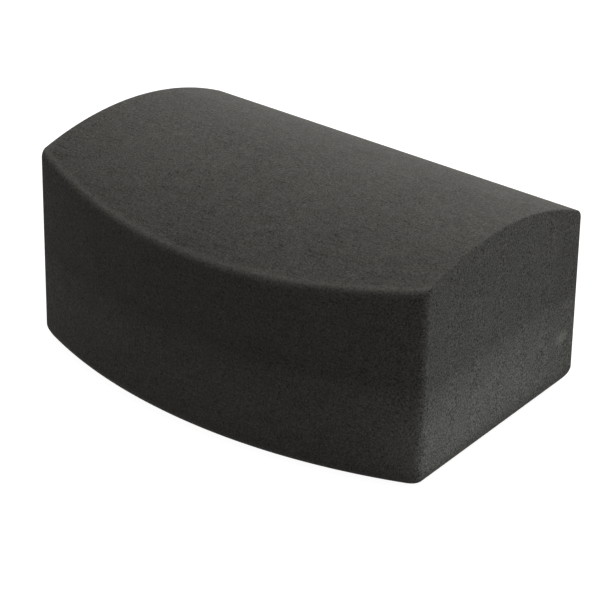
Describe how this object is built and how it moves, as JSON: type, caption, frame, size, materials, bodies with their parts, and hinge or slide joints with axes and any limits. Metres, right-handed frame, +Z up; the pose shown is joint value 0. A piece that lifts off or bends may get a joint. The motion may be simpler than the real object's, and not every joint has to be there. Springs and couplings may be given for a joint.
{
  "type": "contoured foam yoga block",
  "caption": "Firm foam yoga block, cut in one piece, with a flat base and rear, flat ends that draw in slightly towards the rear, a bowed long side, an arched top and softly rounded edges.",
  "frame": {"origin": "middle of the flat base, under the centre of the overall box", "axes": "+X along the length of the block, +Y from the bowed side to the flat rear, +Z up from the base to the crest of the arch"},
  "size_m": [0.2288, 0.155, 0.1085],
  "materials": {
    "foam": "matte cut closed-cell EVA foam, charcoal"
  },
  "bodies": {
    "root": {"foam_block": "foam"}
  },
  "joints": []
}
